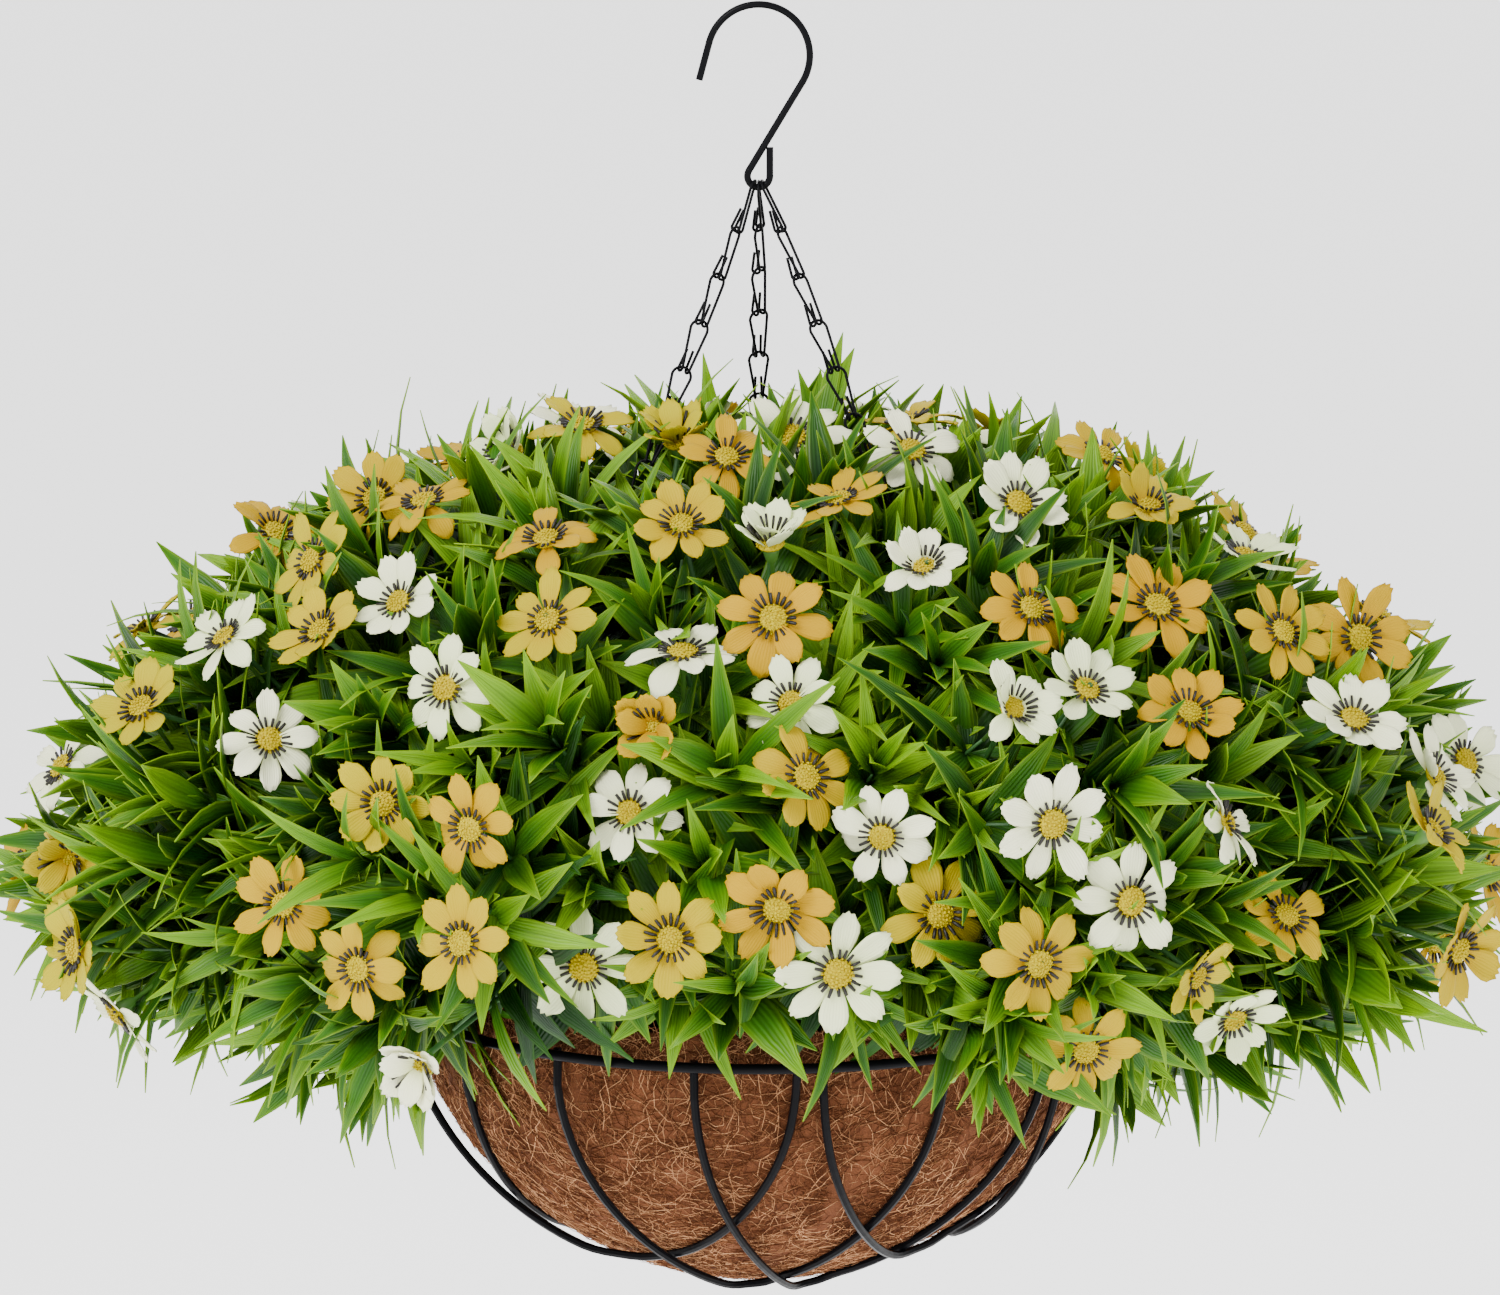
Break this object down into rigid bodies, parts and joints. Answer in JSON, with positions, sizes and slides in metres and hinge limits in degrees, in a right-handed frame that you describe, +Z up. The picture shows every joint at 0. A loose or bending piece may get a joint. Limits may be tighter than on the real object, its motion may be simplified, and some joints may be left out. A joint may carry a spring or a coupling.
{
  "type": "hanging basket",
  "caption": "Hanging wire basket with a coir liner, three link chains and an S-hook, filled with artificial daisies and ribbed leaves.",
  "frame": {"origin": "inside top of the hook's crook, where it rests on what it hangs from", "axes": "+Z up, +X right, the front towards -Y; the hook lies in the XZ plane"},
  "size_m": [0.6275, 0.5067, 0.5354],
  "materials": {
    "hook_wire": "satin",
    "chain_wire": "satin",
    "basket_wire": "satin",
    "coir": "matte",
    "foam": "matte",
    "base_leaf": "satin",
    "stem": "satin",
    "leaf": "satin",
    "cream_petal": "matte",
    "yellow_petal": "matte"
  },
  "bodies": {
    "hook": {"s_hook": "hook_wire"},
    "basket": {"chain_left": "chain_wire", "chain_right": "chain_wire", "chain_back": "chain_wire", "rim_ring": "basket_wire", "basket_loop_1": "basket_wire", "basket_loop_2": "basket_wire", "basket_loop_3": "basket_wire", "basket_loop_4": "basket_wire", "basket_loop_5": "basket_wire", "basket_loop_6": "basket_wire", "basket_loop_7": "basket_wire", "basket_loop_8": "basket_wire", "basket_loop_9": "basket_wire", "basket_loop_10": "basket_wire", "coir_liner": "coir", "foam_block": "foam", "base_greenery": "base_leaf", "bush_1_stems": "stem", "bush_2_stems": "stem", "bush_3_stems": "stem", "bush_4_stems": "stem", "bush_5_stems": "stem", "bush_6_stems": "stem", "bush_7_stems": "stem", "bush_8_stems": "stem", "bush_9_stems": "stem", "bush_1_leaves": "leaf", "bush_2_leaves": "leaf", "bush_3_leaves": "leaf", "bush_4_leaves": "leaf", "bush_5_leaves": "leaf", "bush_6_leaves": "leaf", "bush_7_leaves": "leaf", "bush_8_leaves": "leaf", "bush_9_leaves": "leaf", "bush_1_cream_blooms": "cream_petal", "bush_2_cream_blooms": "cream_petal", "bush_3_cream_blooms": "cream_petal", "bush_4_cream_blooms": "cream_petal", "bush_5_cream_blooms": "cream_petal", "bush_6_cream_blooms": "cream_petal", "bush_7_cream_blooms": "cream_petal", "bush_8_cream_blooms": "cream_petal", "bush_9_cream_blooms": "cream_petal", "bush_1_yellow_blooms": "yellow_petal", "bush_2_yellow_blooms": "yellow_petal", "bush_3_yellow_blooms": "yellow_petal", "bush_4_yellow_blooms": "yellow_petal", "bush_5_yellow_blooms": "yellow_petal", "bush_6_yellow_blooms": "yellow_petal", "bush_7_yellow_blooms": "yellow_petal", "bush_8_yellow_blooms": "yellow_petal", "bush_9_yellow_blooms": "yellow_petal"}
  },
  "joints": [
    {"name": "basket_swing", "type": "hinge", "parent": "hook", "child": "basket", "pos_m": [0, 0, -0.07386], "axis": [1, 0, 0], "range_deg": [-35, 35]}
  ]
}
